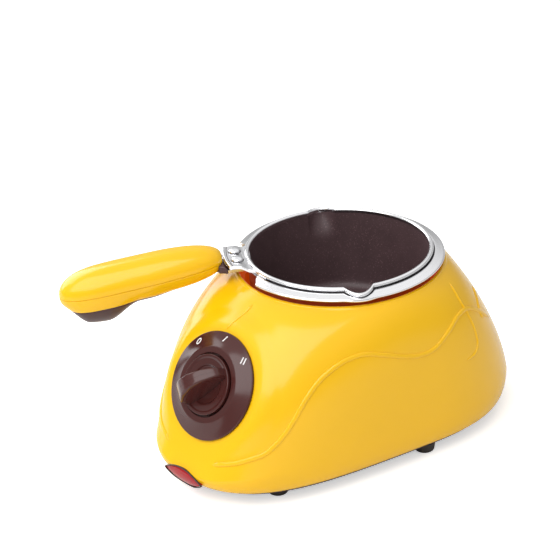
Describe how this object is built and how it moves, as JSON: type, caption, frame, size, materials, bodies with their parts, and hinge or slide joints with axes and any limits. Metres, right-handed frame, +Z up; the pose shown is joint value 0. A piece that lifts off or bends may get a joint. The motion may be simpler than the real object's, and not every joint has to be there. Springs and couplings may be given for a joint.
{
  "type": "electric chocolate melting pot",
  "caption": "Egg-shaped heated stand with a tilted rotary dial, holding a lift-off aluminium pot with two spouts and a long handle.",
  "frame": {"origin": "on the table, under the middle of the whole object's box", "axes": "+Z up, the switch dial faces -Y, +X to the right of someone who faces the dial's back"},
  "size_m": [0.1581, 0.2132, 0.1088],
  "materials": {
    "yellow_plastic": "glossy moulded",
    "brown_plastic": "satin moulded",
    "dark_brown_plastic": "satin moulded",
    "brown_gloss": "glossy moulded",
    "black_rubber": "matte",
    "red_lens": "clear tinted",
    "lamp_glass": "clear",
    "polished_aluminium": "polished outside, dark non-stick lining inside",
    "cast_aluminium": "cast and turned",
    "steel": "bright plated",
    "brass": "bare",
    "white_plastic": "moulded"
  },
  "bodies": {
    "stand": {"housing": "yellow_plastic", "base_plate": "dark_brown_plastic", "feet_front": "black_rubber", "feet_side": "black_rubber", "feet_rear": "black_rubber", "base_screws": "steel", "dial_plate": "brown_gloss", "rotary_switch": "white_plastic", "switch_nut": "steel", "switch_terminals": "brass", "indicator_lens": "red_lens", "pilot_lamp": "lamp_glass", "lamp_holder": "white_plastic", "heating_plate": "cast_aluminium", "heating_element": "steel", "heat_shield": "steel", "heater_screws": "steel", "thermostat": "white_plastic", "thermal_fuse": "white_plastic", "fuse_clip": "steel", "terminal_block": "white_plastic", "terminal_screws": "brass", "block_screws": "steel", "cord_inlet_bush": "black_rubber"},
    "knob": {"control_knob": "brown_gloss", "switch_shaft": "steel"},
    "pot": {"pot_bowl": "polished_aluminium", "rivets": "steel", "handle_tang": "steel", "handle_core": "brown_plastic", "handle_upper_shell": "yellow_plastic", "handle_lower_shell": "yellow_plastic", "handle_grip_insert": "brown_plastic", "handle_screws": "steel"}
  },
  "joints": [
    {"name": "knob_turn", "type": "hinge", "parent": "stand", "child": "knob", "pos_m": [0.00554, -0.07285, 0.0547], "axis": [0, -0.8616, 0.5075], "range_deg": [0, 90]},
    {"name": "pot_lift", "type": "slide", "parent": "stand", "child": "pot", "axis": [0, 0, 1], "range_m": [0, 0.065]}
  ]
}
